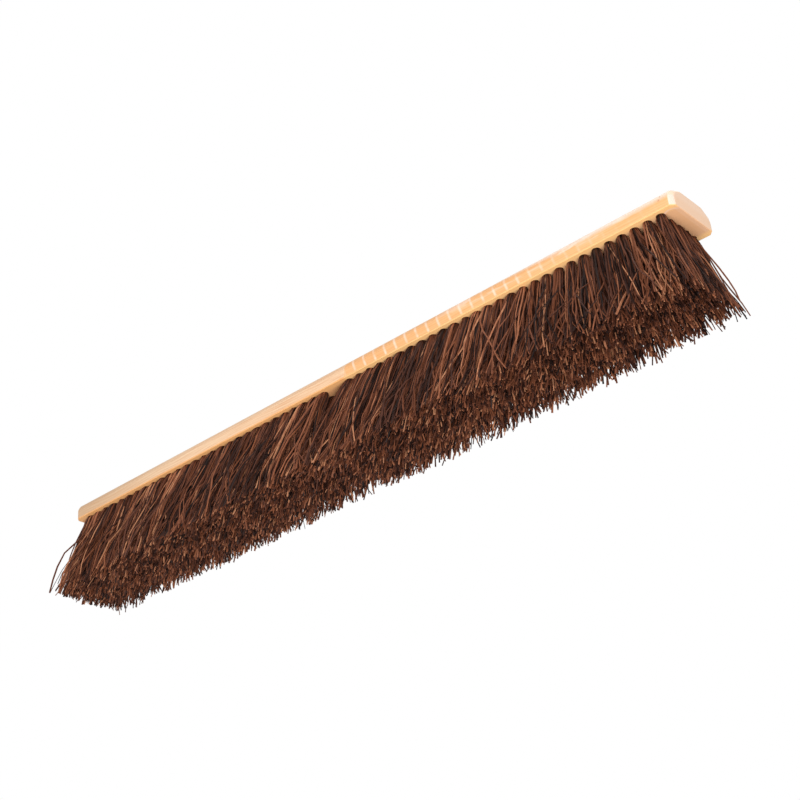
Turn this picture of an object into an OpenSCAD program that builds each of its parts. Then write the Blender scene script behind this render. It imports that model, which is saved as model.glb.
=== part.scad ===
// Head of a wide push broom: a long hardwood block with bundles of stiff palmyra fibre set
// into its underside. Every bundle sits in its own drilled hole, held there by a wire staple.
//
// Frame: +Z is up, with the block on top and the fibre tips down. +X runs along the block.
// The origin is on the floor, under the middle of the block, so the trimmed tips lie on Z = 0.

/* [Block] */
// Length of the block
block_length = 914.4; // [600:0.1:1220]
// Width of the block
block_width = 76.2; // [74:0.1:90]
// Thickness of the block
block_thickness = 22.8; // [22:0.1:30]
// Radius of the rounded shoulders along the top
shoulder_radius = 14; // [6:0.5:16]
// Flat cut on the corners at both ends
corner_bevel = 4.5; // [2:0.5:6]
// Flat eased along the lower edges
edge_ease = 0.8; // [0.4:0.1:2]

/* [Tufts] */
// Length of fibre that stands out of the block, measured straight down
trim_length = 95.2; // [60:0.1:140]
// Distance between tufts along a row
tuft_pitch = 15.42; // [15.3:0.01:18]
// Distance between rows
row_pitch = 14.25; // [13.5:0.05:15]
// Wood left between the end of the block and the last tuft's middle, at least
end_margin = 20.5; // [18:0.1:30]
// How far the last tuft in a row reaches out past its own hole
end_flare = 34; // [0:1:36]
// How far the first tuft in a row leans in, to close the gap below the handle
gap_lean = 12; // [0:0.5:12]
// Spread of the rows at the floor, as a share of their spread in the block
row_fan = 0.47; // [0.3:0.01:0.9]
// Share of that spread that is lost by the end of a row
fan_fade = 0.65; // [0:0.05:0.7]
// Diameter of a tuft at the floor
tip_diameter = 15; // [12:0.5:15]

/* [Tuft holes] */
// Diameter of a drilled hole
hole_diameter = 9.5; // [9:0.1:10]
// Depth of a drilled hole along its own axis
hole_depth = 14; // [10:0.5:16]
// Diameter of a tuft where it is folded, at the bottom of its hole
root_diameter = 8.6; // [8:0.1:8.6]

/* [Staples] */
// Thickness of the staple wire
wire_size = 1.2; // [0.8:0.1:1.6]
// Clearance between a staple and the wall of its hole, on the width
staple_clearance = 0.2; // [0.2:0.05:0.3]
// Height of a staple, from the bottom of the hole
staple_height = 4; // [3:0.5:7]

/* [Handle hole] */
// Clear width between the tufts on either side of the handle hole, middle to middle
handle_gap = 40; // [40:1:60]
// Drilled diameter of the handle hole, which is the crest of its thread
handle_hole_diameter = 15.88; // [12:0.01:24]
// Slope of the handle away from upright
handle_slope = 30; // [0:5:35]

/* [Hidden] */

rows = ["front", "front_mid", "middle", "back_mid", "back"];
sides = ["left", "right"];
side_sign = [-1, 1];

half_width = block_width / 2;
staple_width = hole_diameter - staple_clearance;
flat_half = half_width - shoulder_radius;
shoulder_z = block_thickness - shoulder_radius;
underside_z = trim_length;
middle_z = underside_z + block_thickness / 2;

last_row = len(rows) - 1;
first_x = handle_gap / 2;
last_tuft = floor((block_length / 2 - end_margin - first_x) / tuft_pitch);
last_x = first_x + last_tuft * tuft_pitch;

// Fibre left over past the floor before the tufts are trimmed flat
untrimmed = trim_length * 1.15;
// Tufts over which the lean towards the handle hole dies away
lean_reach = 1.6;
// How sharply the flare grows towards the end of a row
flare_power = 8;
fade_power = 4;

wood = [0.93, 0.75, 0.54];
fibre = [0.27, 0.16, 0.12];
steel = [0.70, 0.71, 0.72];

$fn = 32;

function row_y(row) = (row - last_row / 2) * row_pitch;
function root_x(tuft) = first_x + tuft * tuft_pitch;
function along(tuft) = root_x(tuft) / last_x;

// Sideways travel of a tuft between the block and the floor, along the row and across it
function run_x(tuft) = end_flare * pow(along(tuft), flare_power) - gap_lean * exp(-tuft / lean_reach);
function run_y(row, tuft) = row_y(row) * row_fan * (1 - fan_fade * pow(along(tuft), fade_power));

// Radius of a tuft at a distance below the block's underside, along the tuft
function tuft_radius(below) = root_diameter / 2
    + (tip_diameter - root_diameter) / 2 * (below + hole_depth) / (trim_length + hole_depth);

// Puts its children at the mouth of a tuft's hole, with +Z up along the hole
module at_hole(row, tuft, side) {
    slope_x = side_sign[side] * run_x(tuft) / trim_length;
    slope_y = run_y(row, tuft) / trim_length;
    slant = norm([slope_x, slope_y, 1]);
    translate([side_sign[side] * root_x(tuft), row_y(row), underside_z])
        rotate([asin(slope_y / slant), -atan(slope_x), 0])
            children();
}

// U of square wire: the crown lies inside the fold, and the legs run down the wall of the hole
module staple() {
    leg_x = staple_width / 2 - wire_size / 2;
    translate([-staple_width / 2, -wire_size / 2, hole_depth - staple_height])
        cube([staple_width, wire_size, wire_size]);
    for (s = [-1, 1])
        translate([s * leg_x, 0, hole_depth - staple_height / 2])
            cube([wire_size, wire_size, staple_height], center = true);
}

module tuft() {
    difference() {
        translate([0, 0, -untrimmed])
            cylinder(h = untrimmed + hole_depth, r1 = tuft_radius(untrimmed), r2 = root_diameter / 2);
        staple();
    }
}

module tuft_hole() {
    translate([0, 0, -hole_depth])
        cylinder(h = 2 * hole_depth, d = hole_diameter);
}

module block_section() {
    polygon([
        [-half_width + edge_ease, 0], [half_width - edge_ease, 0],
        [half_width, edge_ease], [half_width, shoulder_z],
        [flat_half, block_thickness], [-flat_half, block_thickness],
        [-half_width, shoulder_z], [-half_width, edge_ease]
    ]);
    intersection() {
        for (s = [-1, 1])
            translate([s * flat_half, shoulder_z])
                circle(r = shoulder_radius, $fn = 96);
        translate([-half_width, shoulder_z])
            square([block_width, shoulder_radius]);
    }
}

// Flats that take the corner off one end, turned in steps to follow the rounded shoulder
module corner_cuts() {
    reach = block_width;
    for (turn = [0, 30, 60])
        translate([block_length / 2 - corner_bevel, flat_half, shoulder_z])
            rotate([turn, 0, 0])
                translate([0, shoulder_radius, 0])
                    rotate([0, 0, 45])
                        translate([0, -reach / 2, -reach / 2])
                            cube([reach / 2, reach, reach]);
}

// Sloped hole that the handle screws into, through the middle of the block
module handle_hole() {
    translate([0, 0, middle_z])
        rotate([handle_slope, 0, 0])
            cylinder(h = 3 * block_thickness, d = handle_hole_diameter, center = true, $fn = 64);
}

module wood_block() {
    color(wood)
        difference() {
            translate([-block_length / 2, 0, underside_z])
                rotate([90, 0, 90])
                    linear_extrude(block_length)
                        block_section();
            for (end = [0, 1])
                mirror([end, 0, 0])
                    for (face = [0, 1])
                        mirror([0, face, 0])
                            translate([0, 0, underside_z])
                                corner_cuts();
            for (row = [0:last_row], side = [0, 1], tuft = [0:last_tuft])
                at_hole(row, tuft, side)
                    tuft_hole();
            handle_hole();
        }
}

// One half of a row, its tips trimmed off level with the floor
module tufts(row, side) {
    color(fibre)
        difference() {
            for (tuft = [0:last_tuft])
                at_hole(row, tuft, side)
                    tuft();
            translate([0, 0, -trim_length / 2])
                cube([2 * block_length, 4 * block_width, trim_length], center = true);
        }
}

module staples(row, side) {
    color(steel)
        for (tuft = [0:last_tuft])
            at_hole(row, tuft, side)
                staple();
}

wood_block();
for (row = [0:last_row], side = [0, 1]) {
    half_row = str(rows[row], "_", sides[side]);
    tufts(row, side);
    staples(row, side);
}
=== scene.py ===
import math

import bmesh
import bpy
import numpy as np
from mathutils import Matrix, Vector


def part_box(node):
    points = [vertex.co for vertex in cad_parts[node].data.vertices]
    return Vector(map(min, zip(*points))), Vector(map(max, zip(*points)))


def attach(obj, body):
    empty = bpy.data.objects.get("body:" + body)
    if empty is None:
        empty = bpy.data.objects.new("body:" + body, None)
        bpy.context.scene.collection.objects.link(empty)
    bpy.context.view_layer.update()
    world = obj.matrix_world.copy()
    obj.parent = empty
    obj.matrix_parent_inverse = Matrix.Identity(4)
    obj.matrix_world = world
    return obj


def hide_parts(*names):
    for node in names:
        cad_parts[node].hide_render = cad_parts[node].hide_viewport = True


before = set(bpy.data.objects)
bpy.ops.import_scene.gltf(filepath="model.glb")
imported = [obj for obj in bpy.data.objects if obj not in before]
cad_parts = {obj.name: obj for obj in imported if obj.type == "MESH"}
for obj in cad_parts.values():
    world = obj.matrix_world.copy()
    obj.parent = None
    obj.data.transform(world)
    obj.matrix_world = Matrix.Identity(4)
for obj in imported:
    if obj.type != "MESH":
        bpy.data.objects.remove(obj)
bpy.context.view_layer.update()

mm = 0.001
rows = ["front", "front_mid", "middle", "back_mid", "back"]
sides = {"left": -1, "right": 1}
blockLow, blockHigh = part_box("wood_block")
blockSize = blockHigh - blockLow
blockMiddle = (blockHigh + blockLow) / 2
underside = blockLow.z

# The rows of tufts, as they are drilled and as they lean
tuftRows = {
    "count": 28,                # tufts in half a row
    "firstX": 20 * mm,          # from the middle of the block to the first tuft
    "pitch": 15.42 * mm,
    "rowPitch": 14.25 * mm,
    "holeRadius": 4.75 * mm,
    "holeDepth": 14 * mm,
    "endFlare": 34 * mm,        # how far the last tuft reaches out past its hole
    "flarePower": 8,
    "gapLean": 12 * mm,         # how far the first tuft leans in, below the handle
    "leanReach": 1.6,           # tufts over which that dies away
    "rowFan": 0.47,             # spread of the rows at the floor, added to their own
    "fanFade": 0.65,            # share of that lost by the end of a row
    "fadePower": 4,
}


def hexColour(code, alpha=1.0):
    channels = [int(code[i:i + 2], 16) / 255 for i in (1, 3, 5)]
    linear = [c / 12.92 if c <= 0.04045 else ((c + 0.055) / 1.055) ** 2.4 for c in channels]
    return (*linear, alpha)


def addNode(tree, kind, inputs=None, stops=(), **settings):
    # values go into the node's sockets, and sockets of other nodes are linked to them
    node = tree.nodes.new("ShaderNode" + kind)
    for name, value in settings.items():
        setattr(node, name, value)
    for socket, value in (inputs or {}).items():
        if isinstance(value, bpy.types.NodeSocket):
            tree.links.new(value, node.inputs[socket])
        else:
            node.inputs[socket].default_value = value
    for number, (position, level) in enumerate(stops):
        if number >= len(node.color_ramp.elements):
            node.color_ramp.elements.new(1.0)
        element = node.color_ramp.elements[number]
        element.position = position
        element.color = hexColour(level) if isinstance(level, str) else (level, level, level, 1)
    return node.outputs


def deselectAll():
    if bpy.context.object and bpy.context.object.mode != "OBJECT":
        bpy.ops.object.mode_set(mode="OBJECT")
    bpy.ops.object.select_all(action="DESELECT")


def makeActive(piece):
    deselectAll()
    piece.select_set(True)
    bpy.context.view_layer.objects.active = piece


def selectEdges(piece, wanted):
    # edit mode, edges picked by a test on their two ends
    bpy.ops.mesh.select_mode(type="EDGE")
    bpy.ops.mesh.select_all(action="DESELECT")
    mesh = bmesh.from_edit_mesh(piece.data)
    for edge in mesh.edges:
        if wanted(*[v.co for v in edge.verts]):
            edge.select_set(True)
    bmesh.update_edit_mesh(piece.data)


def applyModifier(piece, kind, name, **settings):
    makeActive(piece)
    modifier = piece.modifiers.new(name, kind)
    for key, value in settings.items():
        setattr(modifier, key, value)
    bpy.ops.object.modifier_apply(modifier=name)


# Below the head and near its right end, looking up at the fibre
cameraSetup = {
    "aim": (0.0367, 0.0362, 0.0861),
    "distance": 1.76935,
    "azimuth": 39.0439,
    "elevation": -28.9467,
    "roll": -5.4314,
    "lens": 69.741,
}


def makeCamera(setup):
    azimuth, elevation = math.radians(setup["azimuth"]), math.radians(setup["elevation"])
    level = math.cos(elevation)
    back = Vector((math.sin(azimuth) * level, -math.cos(azimuth) * level, math.sin(elevation)))
    turn = (-back).to_track_quat("-Z", "Y").to_matrix()
    turn = turn @ Matrix.Rotation(math.radians(setup["roll"]), 3, "Z")
    bpy.ops.object.camera_add(location=Vector(setup["aim"]) + back * setup["distance"])
    camera = bpy.context.object
    camera.rotation_euler = turn.to_euler()
    camera.data.lens = setup["lens"]
    camera.data.sensor_width = 36
    camera.data.clip_end = 100
    bpy.context.scene.camera = camera


deselectAll()
makeCamera(cameraSetup)
print("camera placed")


studio = {
    "floorDepth": 0.006,        # just below the longest tips
    "floorSize": 400,
    "floorColour": "#F4F3F1",
    "floorFade": (0.9, 2.4),    # from here to here it gives way to the backdrop
    "backdrop": 1.0,            # what the camera sees past the object
    "skyLight": 0.46,           # the even light that reaches the object from all round
    # name, place, size, power
    "lamps": [
        ("key light", (2.2, -1.5, 1.35), 1.3, 22),
        ("low fill", (1.05, -1.45, -1.7), 1.3, 58),
        ("front light", (0.6, -2.2, 1.6), 1.3, 18),
        ("top light", (0.0, 0.6, 2.6), 1.6, 20),
    ],
}


def makeLight(name, place, size, power):
    bpy.ops.object.light_add(type="AREA", location=place)
    light = bpy.context.object
    light.name = name
    light.data.shape = "DISK"
    light.data.size = size
    light.data.energy = power
    light.rotation_euler = (blockMiddle - Vector(place)).to_track_quat("-Z", "Y").to_euler()


def makeStudio(setup):
    bpy.ops.mesh.primitive_plane_add(size=setup["floorSize"], location=(0, 0, -setup["floorDepth"]))
    floor = bpy.context.object
    floor.name = "floor"
    paper = bpy.data.materials.new("matt white studio paper")
    paper.use_nodes = True
    tree = paper.node_tree
    shader = tree.nodes["Principled BSDF"]
    shader.inputs["Base Color"].default_value = hexColour(setup["floorColour"])
    shader.inputs["Roughness"].default_value = 0.9
    # light passes through the floor, and so does the view from below: it only shows from above
    seen = addNode(tree, "LightPath")["Is Camera Ray"]
    under = addNode(tree, "NewGeometry")["Backfacing"]
    solid = addNode(tree, "Math", {0: seen, 1: under}, operation="SUBTRACT", use_clamp=True)[0]
    place = addNode(tree, "TexCoord")["Object"]
    away = addNode(tree, "VectorMath", {0: place}, operation="LENGTH")["Value"]
    whole, gone = setup["floorFade"]
    near = addNode(tree, "MapRange", {"Value": away, "From Min": gone, "From Max": whole},
                   interpolation_type="SMOOTHSTEP")[0]
    solid = addNode(tree, "Math", {0: solid, 1: near}, operation="MULTIPLY")[0]
    clear = addNode(tree, "BsdfTransparent")[0]
    mixed = addNode(tree, "MixShader", {0: solid, 1: clear, 2: shader.outputs[0]})[0]
    tree.links.new(mixed, tree.nodes["Material Output"].inputs["Surface"])
    floor.data.materials.append(paper)

    world = bpy.data.worlds.new("white studio")
    world.use_nodes = True
    bpy.context.scene.world = world
    tree = world.node_tree
    tree.nodes.clear()
    seen = addNode(tree, "LightPath")["Is Camera Ray"]
    glow = addNode(tree, "Background", {"Color": (1, 1, 1, 1), "Strength": setup["skyLight"]})[0]
    backdrop = addNode(tree, "Background", {"Color": (1, 1, 1, 1), "Strength": setup["backdrop"]})[0]
    mixed = addNode(tree, "MixShader", {0: seen, 1: glow, 2: backdrop})[0]
    addNode(tree, "OutputWorld", {"Surface": mixed})

    for lamp in setup["lamps"]:
        makeLight(*lamp)
    bpy.context.scene.view_settings.view_transform = "Standard"


makeStudio(studio)
print("studio lit")


hardwood = {
    "pale": "#EFBA84",          # early wood
    "warm": "#E2A063",          # late wood
    "pinkPale": "#F4D5B2",      # the same two in the length left of the joint
    "pinkWarm": "#D69F72",
    # painted over those in this order: colour, and how much of the wood it covers
    "layers": {
        # painted shade: the wood is painted darker towards the left end, where less light falls
        "farLeftShade": ("#C3A07C", 0.6),
        "pores": ("#B98552", 0.3),
        "toolMarks": ("#FCE2CF", 0.68),
        "blotches": ("#FCE2CF", 0.7),
        # painted highlight: the rounded shoulder is painted paler where light from above falls on it
        "shoulder": ("#F5DCC8", 0.85),
        "endGrain": ("#FFDABC", 0.85),
        # painted highlight: the corner flats are painted paler, standing in for the light they catch
        "facetHighlight": ("#F0CFC2", 0.75),
        # painted shade: the drilled face, which faces down, is painted a darker tan
        "underside": ("#E5AF83", 0.85),
        # painted light: the drilled face is painted brighter golden along its long edges, as if lit from
        # low in front
        "undersideRimLight": ("#FCC683", 0.9),
        "warmEdge": ("#EBA465", 0.55),
        "paleCornerArc": ("#F0CFC2", 0.5),
    },
    # place in mm, radius in mm, colour
    "specks": [((443, -36, 110.7), 1.6, "#B4765A"), ((442, -38, 106.2), 1.8, "#B4765A"),
               ((14, -38, 95.2), 4.5, "#EBA465")],
    "speckStrength": 0.55,
    # patterns: scale along the grain and across it, per mm, and detail
    "patterns": {"drift": (0.004, 0.03, 3), "fine": (0.018, 0.55, 4), "broad": (0.003, 0.035, 2),
                 "pores": (0.12, 1.1, 1), "patches": (0.03, 0.1, 2)},
    "pith": (62, 75),           # mm, how far behind and below the middle the rings are centred
    "ringWidth": 3.2,           # mm
    "ringWander": 26,           # mm
    "ringTones": [(0, 0.15), (0.55, 0.25), (0.88, 1.0), (1, 0.15)],
    "grainShares": {"late": 0.42, "streak": 0.36, "broad": 0.22},
    "jointX": 19,               # mm, where the two lengths of wood meet
    "jointLean": 0.15,
    "shoulderHighlightFrom": (16.0, 21.5),   # mm above the underside, where the shoulder turns pale, a painted highlight
    "shoulderHighlightDrop": 6.5,            # mm lower near the right end
    "markSlant": 0.3,
    "markMiddle": 8,            # mm above the underside, where a mark is right above its tuft
    "markShape": [(0.36, 0), (0.47, 1), (0.53, 1), (0.65, 0)],     # across one pitch
    # from the middle of the block (0) to its right end (1)
    "markStretch": [(0.04, 0), (0.06, 1), (0.5, 0.9), (0.85, 0.1)],
    "blotchStretch": [(0.3, 0), (0.5, 1), (0.85, 1), (0.95, 0)],
    "arcMiddle": (447.5, -22),  # mm, on the drilled face
    "arcAcross": 18.6,          # mm
    "arcShape": [(0.42, 0), (0.48, 1), (0.52, 1), (0.56, 0)],
    "roughness": (0.46, 0.64),
    "relief": 0.2,              # mm
    "reliefStrength": 0.12,
}


def sandedHardwood(look):
    # Pale hardwood, planed, sanded and left bare: long soft grain, fine short pores, a dry sheen.
    # The scales are in millimetres; pores are drawn about twice as wide as real so that they show.
    wood = bpy.data.materials.new("sanded blond hardwood")
    wood.use_nodes = True
    tree = wood.node_tree
    shader = tree.nodes["Principled BSDF"]
    place = addNode(tree, "TexCoord")["Object"]
    inMm = addNode(tree, "VectorMath", {0: place, 1: (1000, 1000, 1000)}, operation="MULTIPLY")[0]
    x, y, height = addNode(tree, "SeparateXYZ", {0: inMm})
    farX = addNode(tree, "Math", {0: x}, operation="ABSOLUTE")[0]
    farY = addNode(tree, "Math", {0: y}, operation="ABSOLUTE")[0]
    endX, faceY, low = blockHigh.x / mm, blockHigh.y / mm, underside / mm
    share = addNode(tree, "Math", {0: x, 1: endX}, operation="DIVIDE")[0]
    pattern = {}
    for name, (along, across, detail) in look["patterns"].items():
        drawnOut = addNode(tree, "Mapping", {"Vector": inMm, "Scale": (along, across, across)})[0]
        pattern[name] = addNode(tree, "TexNoise", {"Vector": drawnOut, "Scale": 1, "Detail": detail})["Fac"]

    # the joint leans a little, the corner flats cut both ends, the painted highlight on the shoulder drops
    # to the right
    seam = addNode(tree, "Math", {0: height, 1: -look["jointLean"], 2: x}, operation="MULTIPLY_ADD")[0]
    seamX = look["jointX"] - look["jointLean"] * low
    corner = addNode(tree, "Math", {0: farX, 1: farY}, operation="ADD")[0]
    cornerX = endX + faceY - woodBlock["cornerFlat"] / mm
    drop = addNode(tree, "MapRange", {"Value": share, "From Min": 0.5, "From Max": 0.75,
                                      "To Max": look["shoulderHighlightDrop"]})[0]
    raised = addNode(tree, "Math", {0: height, 1: drop}, operation="ADD")[0]
    highlightLow, highlightHigh = look["shoulderHighlightFrom"]

    # each mask goes from 0 to 1 as a value goes from one reading to another
    spans = {
        "streak": (pattern["fine"], 0.36, 0.64),
        "broad": (pattern["broad"], 0.3, 0.7),
        "right": (seam, seamX, seamX + 0.8),
        # painted shade, darker towards the left end
        "farLeftShade": (share, -0.5, -1),
        "pores": (pattern["pores"], 0.66, 0.74),
        "onSide": (farY, faceY - 6, faceY - 4.5),
        "aboveTufts": (height, low + 0.3, low + 2.5),
        "blotchSpots": (pattern["patches"], 0.5, 0.58),
        "blotchHeight": (height, low + 6, low + 13),
        # painted highlight on the shoulder
        "shoulder": (raised, low + highlightLow, low + highlightHigh),
        "endGrain": (farX, endX - 5.2, endX - 4.5),
        # painted highlight on the corner flats
        "facetHighlight": (corner, cornerX - 1, cornerX),
        # painted shade on the drilled face
        "underside": (height, low + 1.2, low + 0.3),
        "lowerEdge": (height, low + 2.4, low + 0.8),
        # painted light along the long edges of the drilled face
        "rim": (farY, faceY - 11, faceY - 5),
        "arcSide": (farY, 24, 29),
    }
    masks = {}
    for name, (value, start, end) in spans.items():
        masks[name] = addNode(tree, "MapRange", {"Value": value, "From Min": start, "From Max": end})[0]
    masks["left"] = addNode(tree, "Math", {0: 1.0, 1: masks["right"]}, operation="SUBTRACT")[0]

    # growth rings, which drift as they run along the plank
    fromPith = addNode(tree, "Mapping", {"Vector": inMm, "Location": (0, *look["pith"]),
                                         "Scale": (0, 1, 1)})[0]
    radius = addNode(tree, "VectorMath", {0: fromPith}, operation="LENGTH")["Value"]
    wavy = addNode(tree, "Math", {0: pattern["drift"], 1: look["ringWander"], 2: radius},
                   operation="MULTIPLY_ADD")[0]
    rings = addNode(tree, "Math", {0: wavy, 1: look["ringWidth"]}, operation="DIVIDE")[0]
    ring = addNode(tree, "Math", {0: rings}, operation="FRACT")[0]
    masks["late"] = addNode(tree, "ValToRGB", {0: ring}, look["ringTones"])[0]
    warmth = 0.0
    for name, weight in look["grainShares"].items():
        warmth = addNode(tree, "Math", {0: masks[name], 1: weight, 2: warmth}, operation="MULTIPLY_ADD")[0]

    # two lengths of wood, with the same grain in their own colours
    golden = addNode(tree, "Mix", {0: warmth, 6: hexColour(look["pale"]), 7: hexColour(look["warm"])},
                     data_type="RGBA")[2]
    pinkish = addNode(tree, "Mix", {0: warmth, 6: hexColour(look["pinkPale"]),
                                    7: hexColour(look["pinkWarm"])}, data_type="RGBA")[2]
    body = addNode(tree, "Mix", {0: masks["right"], 6: pinkish, 7: golden}, data_type="RGBA")[2]

    # the planer leaves one pale upright mark above each tuft, along two thirds of one half
    pitch = tuftRows["pitch"] / mm
    slanted = addNode(tree, "Math", {0: height, 1: look["markSlant"], 2: x}, operation="MULTIPLY_ADD")[0]
    firstMark = tuftRows["firstX"] / mm + look["markSlant"] * (low + look["markMiddle"]) - pitch / 2
    counted = addNode(tree, "Math", {0: slanted, 1: firstMark}, operation="SUBTRACT")[0]
    beats = addNode(tree, "Math", {0: counted, 1: pitch}, operation="DIVIDE")[0]
    beat = addNode(tree, "Math", {0: beats}, operation="FRACT")[0]
    masks["upright"] = addNode(tree, "ValToRGB", {0: beat}, look["markShape"])[0]
    masks["markStretch"] = addNode(tree, "ValToRGB", {0: share}, look["markStretch"])[0]
    masks["blotchStretch"] = addNode(tree, "ValToRGB", {0: share}, look["blotchStretch"])[0]
    masks["uneven"] = addNode(tree, "MapRange", {"Value": pattern["patches"], "From Min": 0.35,
                                                 "From Max": 0.6, "To Min": 0.35})[0]

    # a pale arc on the drilled face beside one corner
    fromArc = addNode(tree, "VectorMath", {0: inMm, 1: (*look["arcMiddle"], low)},
                      operation="DISTANCE")["Value"]
    acrossArc = addNode(tree, "Math", {0: fromArc, 1: look["arcAcross"]}, operation="DIVIDE")[0]
    masks["arc"] = addNode(tree, "ValToRGB", {0: acrossArc}, look["arcShape"])[0]

    # masks that only hold where others do
    joined = {
        "toolMarks": ("upright", "onSide", "aboveTufts", "markStretch", "uneven"),
        "blotches": ("blotchSpots", "blotchHeight", "blotchStretch"),   # marks that have run together
        # painted light: brighter golden strips along the long edges of the drilled face
        "undersideRimLight": ("rim", "underside"),
        "warmEdge": ("lowerEdge", "left"),      # a darker line low on the length left of the joint
        "paleCornerArc": ("arc", "underside", "arcSide"),
    }
    for name, parts in joined.items():
        masks[name] = masks[parts[0]]
        for part in parts[1:]:
            masks[name] = addNode(tree, "Math", {0: masks[name], 1: masks[part]}, operation="MULTIPLY")[0]

    layers = [(masks[name], colour, strength) for name, (colour, strength) in look["layers"].items()]
    for centre, size, colour in look["specks"]:
        distance = addNode(tree, "VectorMath", {0: inMm, 1: centre}, operation="DISTANCE")["Value"]
        speck = addNode(tree, "MapRange", {"Value": distance, "From Min": size, "From Max": size * 0.3})[0]
        layers.append((speck, colour, look["speckStrength"]))
    for mask, colour, strength in layers:
        factor = addNode(tree, "Math", {0: mask, 1: strength}, operation="MULTIPLY")[0]
        body = addNode(tree, "Mix", {0: factor, 6: body, 7: hexColour(colour)}, data_type="RGBA")[2]
    tree.links.new(body, shader.inputs["Base Color"])

    smoothest, roughest = look["roughness"]
    rough = addNode(tree, "MapRange", {"Value": pattern["fine"], "To Min": smoothest,
                                       "To Max": roughest})[0]
    tree.links.new(rough, shader.inputs["Roughness"])
    shader.inputs["IOR"].default_value = 1.5
    relief = addNode(tree, "Math", {0: masks["pores"], 1: -0.5, 2: pattern["fine"]},
                     operation="MULTIPLY_ADD")[0]
    bump = addNode(tree, "Bump", {"Height": relief, "Strength": look["reliefStrength"],
                                  "Distance": look["relief"] * mm})[0]
    tree.links.new(bump, shader.inputs["Normal"])
    return wood


woodBlock = {
    "shoulderRadius": 14 * mm,
    "shoulderSteps": 10,
    "cornerFlat": 4.5 * mm,
    "cornerTurns": (0, 30, 60),
    "easedEdge": 1.1 * mm,
    "easedSteps": 3,
    "easedAngle": 35,           # edges sharper than this are eased
    "smoothAngle": 32,          # and those blunter than this are shaded smooth
    "holeSides": 20,
    "handleSides": 64,
    "threadRoot": 9.5 * mm,     # radius at the bottom of the thread, 3/4 inch across
    "threadCrest": 7.94 * mm,   # radius of the drilled hole
    "threadPitch": 5.08 * mm,   # 5 threads to the inch
    "threadTurns": 12,
    "threadSteps": 40,          # to a turn
    "threadFoot": 1.7 * mm,     # half the height of the groove at the crest
    "threadTip": 0.75 * mm,     # and at its bottom
    "threadOverlap": 0.6,       # how far the cutter reaches into the hole, as a share of the groove's depth
    "handleSlope": 30,
}


def alongRow(tuft):
    rootX = tuftRows["firstX"] + tuft * tuftRows["pitch"]
    lastX = tuftRows["firstX"] + (tuftRows["count"] - 1) * tuftRows["pitch"]
    return rootX, rootX / lastX


def tuftAxis(row, side, tuft):
    # the mouth of a tuft's hole, and how far the tuft runs sideways from there to the floor
    rootX, along = alongRow(tuft)
    rowY = (row - rows.index("middle")) * tuftRows["rowPitch"]
    runX = tuftRows["endFlare"] * along ** tuftRows["flarePower"]
    runX -= tuftRows["gapLean"] * math.exp(-tuft / tuftRows["leanReach"])
    runY = rowY * tuftRows["rowFan"] * (1 - tuftRows["fanFade"] * along ** tuftRows["fadePower"])
    mouth = Vector((side * rootX, rowY, underside))
    return mouth, Vector((side * runX, runY, -underside))


def tuftHoleCutter():
    # one drilled hole, copied to every tuft and joined
    deselectAll()
    depth = tuftRows["holeDepth"]
    bpy.ops.mesh.primitive_cylinder_add(vertices=woodBlock["holeSides"], radius=tuftRows["holeRadius"],
                                        depth=2 * depth)
    drill = bpy.context.object
    copies = []
    for row in range(len(rows)):
        for side in sides.values():
            for tuft in range(tuftRows["count"]):
                mouth, run = tuftAxis(row, side, tuft)
                copy = drill.copy()
                copy.data = drill.data.copy()
                turn = run.to_track_quat("-Z", "Y").to_matrix().to_4x4()
                copy.matrix_world = Matrix.Translation(mouth) @ turn
                bpy.context.scene.collection.objects.link(copy)
                copies.append(copy)
    bpy.data.objects.remove(drill)
    makeActive(copies[0])
    for copy in copies:
        copy.select_set(True)
    bpy.ops.object.join()
    return bpy.context.object


def handleDrill():
    deselectAll()
    slope = math.radians(woodBlock["handleSlope"])
    bpy.ops.mesh.primitive_cylinder_add(vertices=woodBlock["handleSides"], radius=woodBlock["threadCrest"],
                                        depth=3 * blockSize.z, location=blockMiddle,
                                        rotation=(slope, 0, 0))
    return bpy.context.object


def threadCutter():
    # a four-sided groove section wound up the handle hole
    deselectAll()
    slope = math.radians(woodBlock["handleSlope"])
    root, crest = woodBlock["threadRoot"], woodBlock["threadCrest"]
    overlap = woodBlock["threadOverlap"]
    inner = crest - (root - crest) * overlap
    bpy.ops.mesh.primitive_plane_add(size=1, rotation=(math.pi / 2, 0, 0))
    cutter = bpy.context.object
    bpy.ops.object.transform_apply(rotation=True)
    foot = woodBlock["threadFoot"] + (woodBlock["threadFoot"] - woodBlock["threadTip"]) * overlap
    for vertex in cutter.data.vertices:
        outer = vertex.co.x > 0
        vertex.co = (root if outer else inner, 0,
                     math.copysign(woodBlock["threadTip"] if outer else foot, vertex.co.z))
    bpy.ops.object.mode_set(mode="EDIT")
    bpy.ops.mesh.select_all(action="SELECT")
    bpy.ops.mesh.delete(type="ONLY_FACE")
    bpy.ops.object.mode_set(mode="OBJECT")
    turns, steps = woodBlock["threadTurns"], woodBlock["threadSteps"]
    applyModifier(cutter, "SCREW", "wind", axis="Z", angle=2 * math.pi, iterations=turns,
                  screw_offset=woodBlock["threadPitch"], steps=steps, render_steps=steps)
    bpy.ops.object.mode_set(mode="EDIT")
    bpy.ops.mesh.select_all(action="SELECT")
    bpy.ops.mesh.fill_holes(sides=4)
    bpy.ops.mesh.select_all(action="SELECT")
    bpy.ops.mesh.normals_make_consistent(inside=False)
    bpy.ops.transform.translate(value=(0, 0, -turns * woodBlock["threadPitch"] / 2))
    bpy.ops.object.mode_set(mode="OBJECT")
    cutter.rotation_euler = (slope, 0, 0)
    cutter.location = blockMiddle
    return cutter


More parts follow.
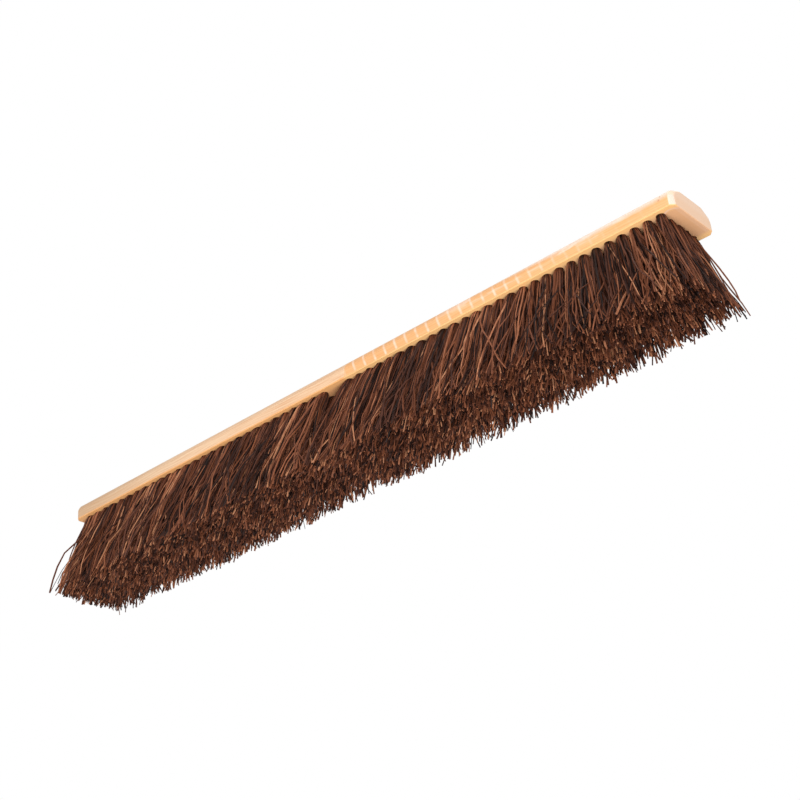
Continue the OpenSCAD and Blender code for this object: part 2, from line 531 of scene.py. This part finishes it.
def makeBlock(material):
    deselectAll()
    bpy.ops.mesh.primitive_cube_add(size=1, location=blockMiddle, scale=blockSize)
    piece = bpy.context.object
    piece.name = "hardwood_block"
    bpy.ops.object.transform_apply(location=True, rotation=True, scale=True)
    radius = woodBlock["shoulderRadius"]
    near = 0.01 * mm
    shoulderZ = blockHigh.z - radius
    flatY = blockHigh.y - radius

    bpy.ops.object.mode_set(mode="EDIT")
    selectEdges(piece, lambda a, b: min(a.z, b.z) > blockHigh.z - near and abs(a.y - b.y) < near)
    bpy.ops.mesh.bevel(offset=radius, segments=woodBlock["shoulderSteps"], affect="EDGES")

    # flats that take the corners off both ends, turned in steps to follow the shoulder
    for end in (-1, 1):
        for face in (-1, 1):
            for turn in woodBlock["cornerTurns"]:
                lean = Vector((0, face * math.cos(math.radians(turn)), math.sin(math.radians(turn))))
                edge = Vector((end * (blockHigh.x - woodBlock["cornerFlat"]), face * flatY, shoulderZ))
                bpy.ops.mesh.select_all(action="SELECT")
                bpy.ops.mesh.bisect(plane_co=edge + lean * radius, plane_no=lean + Vector((end, 0, 0)),
                                    clear_outer=True, use_fill=True)
    bpy.ops.mesh.select_all(action="SELECT")
    bpy.ops.mesh.remove_doubles(threshold=near)
    bpy.ops.mesh.normals_make_consistent(inside=False)
    bpy.ops.object.mode_set(mode="OBJECT")
    applyModifier(piece, "BEVEL", "ease", width=woodBlock["easedEdge"], segments=woodBlock["easedSteps"],
                  limit_method="ANGLE", angle_limit=math.radians(woodBlock["easedAngle"]),
                  use_clamp_overlap=True)

    for name, cutter in (("tuft holes", tuftHoleCutter()), ("handle hole", handleDrill()),
                         ("handle thread", threadCutter())):
        applyModifier(piece, "BOOLEAN", name, operation="DIFFERENCE", solver="EXACT", object=cutter)
        bpy.data.objects.remove(cutter)
    makeActive(piece)
    bpy.ops.object.shade_smooth_by_angle(angle=math.radians(woodBlock["smoothAngle"]))
    applyModifier(piece, "WEIGHTED_NORMAL", "flat faces stay flat", mode="FACE_AREA", weight=100,
                  keep_sharp=True)
    piece.data.materials.clear()
    piece.data.materials.append(material)
    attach(piece, "root")
    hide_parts("wood_block")


makeBlock(sandedHardwood(hardwood))
print("block made")


fibre = {
    "seed": 1000,
    "perTuft": 50,
    "sides": 4,
    "smoothAngle": 60,
    "ringShares": (0, 0.1, 0.15, 0.27, 0.42, 0.57, 0.72, 0.86, 1),      # where a fibre may bend
    "radius": (0.48 * mm, 1.25 * mm),
    "flatness": 0.75,           # thickness of a fibre as a share of its width
    "taper": 0.08,
    "unevenWidth": 0.07,
    "inside": 10 * mm,          # how deep in its hole a fibre starts
    # storage has combed the head sideways: mm along the block, and mm that tips there are swept
    "sweep": [(-457, -46), (-60, -42), (-20, -30), (20, -50), (60, -42), (130, -34), (240, -24), (330, -4),
              (400, 15), (437, 27)],
    "endTaming": 0.65,          # how much less the last tufts wander outwards
    "sweepBend": 0.85,          # below 1, the fibres turn more near the block than at their tips
    "rootSpread": 3.8 * mm,     # radius of the bundle in its hole
    "mouthBulge": 2.6 * mm,     # the stiff fibres spring out this much as they leave the hole
    "bulgeReach": 2 * mm,
    "tipSpread": 9.0 * mm,      # and at the floor
    "tuftLean": 4.5 * mm,       # a whole tuft strays this far from its place
    "clumps": 6,                # fibres of a tuft gather into this many points
    "clumpReach": 0.55,         # how far those points lie from the middle, as a share of tipSpread
    "clumpPull": 0.74,
    "clumpRagged": 2.2 * mm,    # and each point is trimmed a little long or short
    "wander": 7.5 * mm,
    "strayShare": 0.10,
    "strayWander": 22 * mm,
    "strayOut": 0.4,            # the share of that which goes across the row, always outwards
    "wave": (0.4 * mm, 2.8 * mm),
    "waveLength": (30 * mm, 100 * mm),
    "kinkShare": 0.5,
    "kink": 0.30,               # slope that a kinked fibre turns by
    "kinkAt": (0.2, 0.75),
    "splay": 0.16,              # slope that the last quarter of every fibre turns by
    "splayAt": (0.68, 0.85),
    "ragged": 1.0 * mm,         # unevenness of the trimmed tips
    "raggedLimits": (-2.4, 2.1),
    "shortShare": 0.08,
    "shortBy": 26 * mm,
    # how each of these grows from the block (0) down to the floor (1), as a power
    "growth": {"spread": 1.15, "wander": 1.1, "clump": 2, "trim": 3, "wave": 0.6, "taming": 0.5},
    "reach": (0.505, 0.0575),   # no fibre goes further than this from the middle, along and across
    "easeFrom": 0.86,           # share of the reach past which a fibre is held back
}

palmyra = {
    "tones": [(0.0, "#170B08"), (0.28, "#341B13"), (0.58, "#643825"), (0.82, "#885136"),
              (0.95, "#A06648"), (1.0, "#B27B59")],
    "blotchScale": (500, 500, 60),      # per metre
    "blotchShift": 0.22,
    "relief": 0.3 * mm,
    "reliefStrength": 0.3,
    "roughness": 0.6,
    "gloss": 0.2,
    "tone": (0.40, 0.25),       # of one fibre: usual, and spread
    "tuftTone": 0.05,           # spread from tuft to tuft
    "paleFew": (9, 0.5),        # how few fibres are much lighter, and by how much
    "strayTone": 0.25,
    "toneLimits": (0.02, 1.0),
}


def palmyraFibre(look):
    # Palmyra, a stiff leaf fibre, split and left raw: uneven browns, a dull waxy gleam along each strand
    material = bpy.data.materials.new("raw palmyra fibre")
    material.use_nodes = True
    tree = material.node_tree
    shader = tree.nodes["Principled BSDF"]
    place = addNode(tree, "TexCoord")["Object"]
    tone = addNode(tree, "Attribute", attribute_name="tone")["Fac"]
    # blotches about 17 mm long down the strand and 2 mm across it, with finer streaks in them
    drawnOut = addNode(tree, "Mapping", {"Vector": place, "Scale": look["blotchScale"]})[0]
    blotch = addNode(tree, "TexNoise", {"Vector": drawnOut, "Scale": 1, "Detail": 3})["Fac"]
    shift = addNode(tree, "MapRange", {"Value": blotch, "To Min": -look["blotchShift"],
                                       "To Max": look["blotchShift"]})[0]
    shade = addNode(tree, "Math", {0: tone, 1: shift}, operation="ADD")[0]
    colour = addNode(tree, "ValToRGB", {0: shade}, look["tones"])[0]
    tree.links.new(colour, shader.inputs["Base Color"])
    shader.inputs["Roughness"].default_value = look["roughness"]
    shader.inputs["Specular IOR Level"].default_value = look["gloss"]
    bump = addNode(tree, "Bump", {"Height": blotch, "Strength": look["reliefStrength"],
                                  "Distance": look["relief"]})[0]
    tree.links.new(bump, shader.inputs["Normal"])
    return material


def modelStrand():
    # one straight strand, one unit long and one unit in radius, cut into rings so that copies can bend
    deselectAll()
    bpy.ops.mesh.primitive_cylinder_add(vertices=fibre["sides"], radius=1, depth=1)
    strand = bpy.context.object
    bpy.ops.object.mode_set(mode="EDIT")
    selectEdges(strand, lambda a, b: abs(a.z - b.z) > 0.5)
    bpy.ops.mesh.subdivide(number_cuts=len(fibre["ringShares"]) - 2)
    bpy.ops.object.mode_set(mode="OBJECT")
    points = np.array([v.co for v in strand.data.vertices])
    faces = [list(p.vertices) for p in strand.data.polygons]
    bpy.data.objects.remove(strand)
    return points, faces


strandPoints, strandFaces = modelStrand()


def fibrePaths(random, mouth, run):
    # the middle line of each fibre in a tuft, as (fibre, ring, xyz), from inside its hole to its cut tip
    count, inside, growth = fibre["perTuft"], fibre["inside"], fibre["growth"]
    shortest, longest = fibre["raggedLimits"]
    ragged = random.normal(0, fibre["ragged"], count)
    ragged = ragged.clip(shortest * fibre["ragged"], longest * fibre["ragged"])
    short = random.random(count) < fibre["shortShare"]
    drop = underside + inside + ragged - short * random.random(count) * fibre["shortBy"]
    share = np.array(fibre["ringShares"])
    depth = share[None, :] * drop[:, None] - inside                  # below the block's underside
    below = (depth / underside).clip(0, 2)

    angle = random.uniform(0, 2 * math.pi, count)
    fromMiddle = np.sqrt(random.random(count))
    disc = np.stack([np.cos(angle) * fromMiddle, np.sin(angle) * fromMiddle], 1)
    bulge = 1 - np.exp(-below * underside / fibre["bulgeReach"])
    sprung = fibre["rootSpread"] + fibre["mouthBulge"] * bulge
    further = fibre["tipSpread"] - fibre["rootSpread"] - fibre["mouthBulge"]
    spread = sprung + further * below ** growth["spread"]
    across = disc[:, None, :] * spread[:, :, None]

    # strays lie over the outside of their row
    stray = random.random(count) < fibre["strayShare"]
    size = np.where(stray, fibre["strayWander"], fibre["wander"])
    wander = random.normal(0, 1, (count, 2)) * size[:, None]
    outside = np.copysign(wander[:, 1] * fibre["strayOut"], mouth.y)
    wander[:, 1] = np.where(stray, outside, wander[:, 1])
    wander += random.normal(0, fibre["tuftLean"], 2)
    across += wander[:, None, :] * (below ** growth["wander"])[:, :, None]

    # neighbouring fibres lean together into points
    points = random.normal(0, fibre["clumpReach"], (fibre["clumps"], 2)) * fibre["tipSpread"]
    nearest = ((across[:, -1, None, :] - points[None]) ** 2).sum(2).argmin(1)
    pull = (points[nearest] - across[:, -1]) * fibre["clumpPull"] * ~stray[:, None]
    across += pull[:, None, :] * (below ** growth["clump"])[:, :, None]
    trim = random.normal(0, fibre["clumpRagged"], fibre["clumps"])[nearest]
    depth += trim[:, None] * below ** growth["trim"]

    for axis in range(2):
        swing = random.uniform(*fibre["wave"], count)[:, None] * below ** growth["wave"]
        length = random.uniform(*fibre["waveLength"], count)[:, None]
        start = random.uniform(0, 2 * math.pi, count)[:, None]
        across[:, :, axis] += swing * (np.sin(2 * math.pi * depth / length + start) - np.sin(start))

    kinked = random.random(count) < fibre["kinkShare"]
    for slope, bend in ((fibre["kink"] * kinked, random.uniform(*fibre["kinkAt"], count)),
                        (np.full(count, fibre["splay"]), random.uniform(*fibre["splayAt"], count))):
        turn = random.normal(0, 1, (count, 2)) * slope[:, None]
        across += turn[:, None, :] * ((below - bend[:, None]).clip(0, 2) * underside)[:, :, None]

    _, along = alongRow((abs(mouth.x) - tuftRows["firstX"]) / tuftRows["pitch"])
    outward = across[:, :, 0] * math.copysign(1, mouth.x) > 0
    taming = fibre["endTaming"] * along ** tuftRows["flarePower"] * below.clip(0, 1) ** growth["taming"]
    across[:, :, 0] *= np.where(outward, 1 - taming, 1)

    sweptX = np.interp(mouth.x / mm, *zip(*fibre["sweep"])) * mm - run.x
    middle = np.array(mouth)[None, None, :] + (depth / underside)[:, :, None] * np.array(run)[None, None, :]
    middle[:, :, :2] += across
    middle[:, :, 0] += sweptX * below ** fibre["sweepBend"]
    for axis, reach in enumerate(fibre["reach"]):
        ease = reach * fibre["easeFrom"]
        over = (np.abs(middle[:, :, axis]) - ease).clip(0)
        held = np.copysign(ease + (reach - ease) * np.tanh(over / (reach - ease)), middle[:, :, axis])
        middle[:, :, axis] = np.where(over > 0, held, middle[:, :, axis])
    return middle, stray


def fibreTones(random, stray):
    # most fibres are dark, some mid brown, and a few much lighter, strays above all
    count = len(stray)
    rarity, lift = palmyra["paleFew"]
    tone = random.normal(*palmyra["tone"], count) + random.normal(0, palmyra["tuftTone"])
    tone += random.random(count) ** rarity * lift
    tone += stray * random.random(count) * palmyra["strayTone"]
    return tone.clip(*palmyra["toneLimits"])


def strandMesh(random, paths, radii):
    # every path gets a copy of the strand, its rings square to the path
    count = len(paths)
    rings = len(fibre["ringShares"])
    forward = np.gradient(paths, axis=1)
    forward /= np.linalg.norm(forward, axis=2, keepdims=True)
    angle = random.uniform(0, 2 * math.pi, count)
    guide = np.stack([np.cos(angle), np.sin(angle), np.zeros(count)], 1)[:, None, :]
    side = guide - forward * (guide * forward).sum(2, keepdims=True)
    side /= np.linalg.norm(side, axis=2, keepdims=True)
    other = np.cross(forward, side)

    ring = np.rint((0.5 - strandPoints[:, 2]) * (rings - 1)).astype(int)
    thin = 1 - fibre["taper"] * ring / (rings - 1)
    jitter = 1 + random.normal(0, fibre["unevenWidth"], (count, rings))[:, ring]
    width = radii[:, None] * thin[None, :] * jitter
    points = (paths[:, ring] + side[:, ring] * (strandPoints[:, 0] * width)[:, :, None]
              + other[:, ring] * (strandPoints[:, 1] * width * fibre["flatness"])[:, :, None])
    perStrand = len(strandPoints)
    faces = np.array(strandFaces)[None] + (np.arange(count) * perStrand)[:, None, None]
    return points.reshape(-1, 3), faces.reshape(-1, faces.shape[-1])


def makeFibrePiece(name, paths, tones, radii, random, material):
    points, faces = strandMesh(random, paths, radii)
    mesh = bpy.data.meshes.new(name)
    mesh.from_pydata(points, [], faces)
    mesh.validate()
    mesh.update()
    attribute = mesh.attributes.new("tone", "FLOAT", "POINT")
    attribute.data.foreach_set("value", np.repeat(tones, len(strandPoints)).astype(np.float32))
    mesh.materials.append(material)
    piece = bpy.data.objects.new(name, mesh)
    bpy.context.scene.collection.objects.link(piece)
    makeActive(piece)
    bpy.ops.object.mode_set(mode="EDIT")
    bpy.ops.mesh.select_all(action="SELECT")
    bpy.ops.mesh.normals_make_consistent(inside=False)
    bpy.ops.object.mode_set(mode="OBJECT")
    bpy.ops.object.shade_smooth_by_angle(angle=math.radians(fibre["smoothAngle"]))
    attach(piece, "root")
    return piece


def makeHalfRow(row, sideName, material):
    random = np.random.default_rng(fibre["seed"] + 10 * row + list(sides).index(sideName))
    paths, tones = [], []
    for tuft in range(tuftRows["count"]):
        mouth, run = tuftAxis(row, sides[sideName], tuft)
        path, stray = fibrePaths(random, mouth, run)
        paths.append(path)
        tones.append(fibreTones(random, stray))
    paths, tones = np.concatenate(paths), np.concatenate(tones)
    radii = random.uniform(*fibre["radius"], len(paths))
    piece = makeFibrePiece(f"fibre_{rows[row]}_{sideName}", paths, tones, radii, random, material)
    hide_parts(f"tufts_{rows[row]}_{sideName}")


fibreMaterial = palmyraFibre(palmyra)
for rowIndex in range(len(rows)):
    for sideName in sides:
        makeHalfRow(rowIndex, sideName, fibreMaterial)
print("fibre set")


steelWire = {
    "tones": [(0, "#8E8F91"), (1, "#B9BABC")],
    "roughness": (0.28, 0.45),
    "lineScale": (400, 4000, 4000),     # per metre; the crowns lie along the block
}


def drawnSteelWire(look):
    # Low-carbon steel wire, drawn and bent: grey and half bright, with fine lines along the crowns
    steel = bpy.data.materials.new("drawn steel wire")
    steel.use_nodes = True
    tree = steel.node_tree
    shader = tree.nodes["Principled BSDF"]
    place = addNode(tree, "TexCoord")["Object"]
    drawnOut = addNode(tree, "Mapping", {"Vector": place, "Scale": look["lineScale"]})[0]
    lines = addNode(tree, "TexNoise", {"Vector": drawnOut, "Scale": 1, "Detail": 2})["Fac"]
    colour = addNode(tree, "ValToRGB", {0: lines}, look["tones"])[0]
    tree.links.new(colour, shader.inputs["Base Color"])
    shader.inputs["Metallic"].default_value = 1.0
    smoothest, roughest = look["roughness"]
    rough = addNode(tree, "MapRange", {"Value": lines, "To Min": smoothest, "To Max": roughest})[0]
    tree.links.new(rough, shader.inputs["Roughness"])
    return steel


stapleSteel = drawnSteelWire(steelWire)
for name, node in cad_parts.items():
    if name.startswith("staples_"):
        node.data.materials.clear()
        node.data.materials.append(stapleSteel)
print("staples finished")
